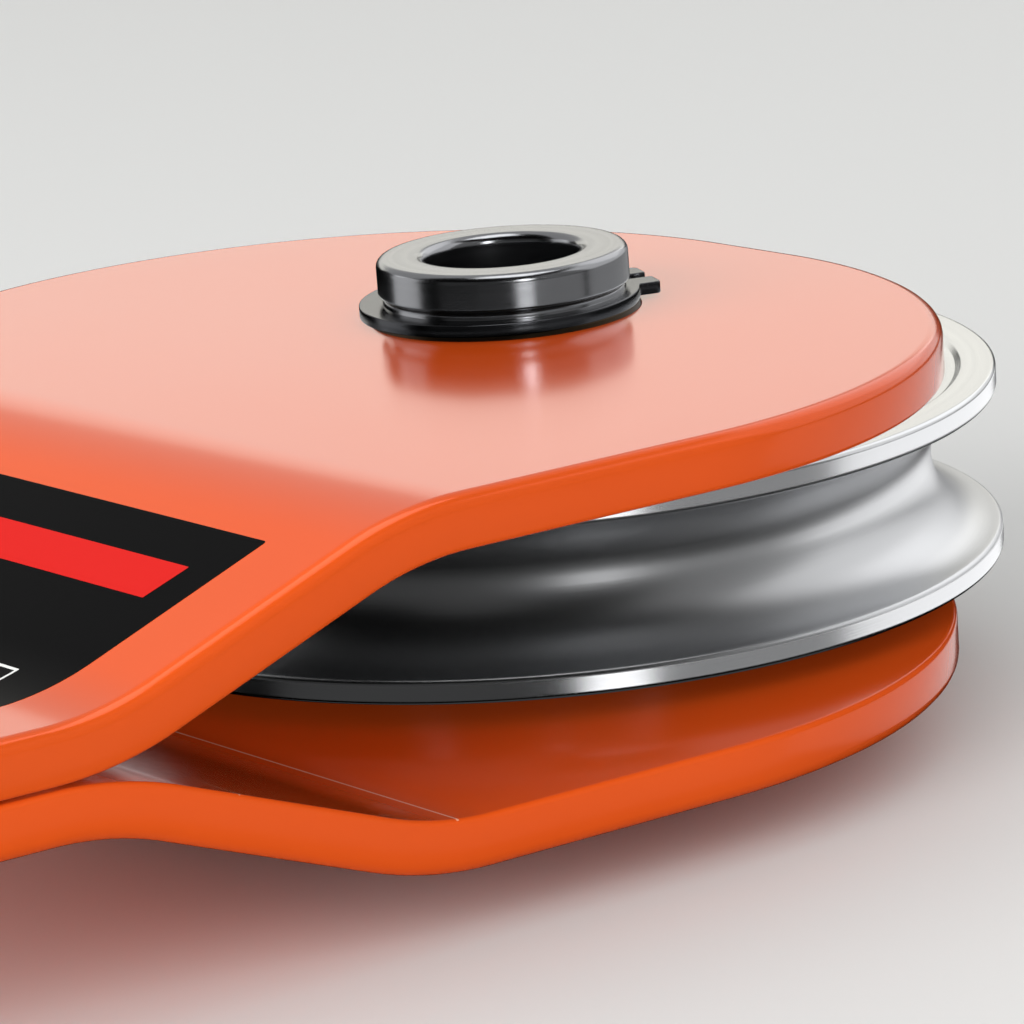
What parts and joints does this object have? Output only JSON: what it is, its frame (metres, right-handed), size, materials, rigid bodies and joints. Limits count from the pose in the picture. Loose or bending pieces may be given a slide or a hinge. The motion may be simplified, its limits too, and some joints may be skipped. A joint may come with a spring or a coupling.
{
  "type": "rope pulley",
  "caption": "Rope pulley with bent swing side plates that meet at a connector eye, a grooved sheave on sealed ball bearings and a hollow axle held by retaining rings.",
  "frame": {"origin": "middle of the sheave on the axle's axis", "axes": "+Z along the axle towards the upper side plate, -X from the axle towards the connector eye"},
  "size_m": [0.1982, 0.113, 0.0458],
  "materials": {
    "side_plates": "orange anodised, satin",
    "sheave_aluminium": "turned and clear anodised",
    "axle_steel": "turned stainless steel",
    "clip_black": "black phosphated spring steel",
    "bush_bronze": "turned bearing bronze",
    "washer_steel": "ground steel",
    "bearing_steel": "ground and polished bearing steel",
    "cage_nylon": "moulded nylon",
    "seal_rubber": "moulded nitrile rubber"
  },
  "bodies": {
    "lower_cheek": {"lower_side_plate": "side_plates", "lower_plate_bush": "bush_bronze"},
    "upper_cheek": {"upper_side_plate": "side_plates", "upper_plate_bush": "bush_bronze"},
    "axle_unit": {"axle": "axle_steel", "lower_circlip": "clip_black", "upper_circlip": "clip_black", "lower_thrust_washer": "washer_steel", "upper_thrust_washer": "washer_steel", "bearing_spacer": "washer_steel", "lower_inner_race": "bearing_steel", "upper_inner_race": "bearing_steel"},
    "sheave_unit": {"sheave": "sheave_aluminium", "lower_outer_race": "bearing_steel", "upper_outer_race": "bearing_steel", "lower_outside_seal": "seal_rubber", "lower_inside_seal": "seal_rubber", "upper_outside_seal": "seal_rubber", "upper_inside_seal": "seal_rubber"},
    "lower_ball_set": {"lower_balls": "bearing_steel", "lower_cage": "cage_nylon"},
    "upper_ball_set": {"upper_balls": "bearing_steel", "upper_cage": "cage_nylon"}
  },
  "joints": [
    {"name": "axle_spin", "type": "hinge", "parent": "lower_cheek", "child": "axle_unit", "pos_m": [0, 0, 0], "axis": [0, 0, 1], "continuous": true},
    {"name": "cheek_swing", "type": "hinge", "parent": "lower_cheek", "child": "upper_cheek", "pos_m": [0, 0, 0], "axis": [0, 0, 1], "continuous": true},
    {"name": "sheave_spin", "type": "hinge", "parent": "axle_unit", "child": "sheave_unit", "pos_m": [0, 0, 0], "axis": [0, 0, 1], "continuous": true},
    {"name": "lower_cage_spin", "type": "hinge", "parent": "axle_unit", "child": "lower_ball_set", "pos_m": [0, 0, 0], "axis": [0, 0, 1], "continuous": true},
    {"name": "upper_cage_spin", "type": "hinge", "parent": "axle_unit", "child": "upper_ball_set", "pos_m": [0, 0, 0], "axis": [0, 0, 1], "continuous": true}
  ],
  "couplings": [
    {"joint": "lower_cage_spin", "follows": "sheave_spin", "ratio": 0.5565},
    {"joint": "upper_cage_spin", "follows": "sheave_spin", "ratio": 0.5565}
  ]
}
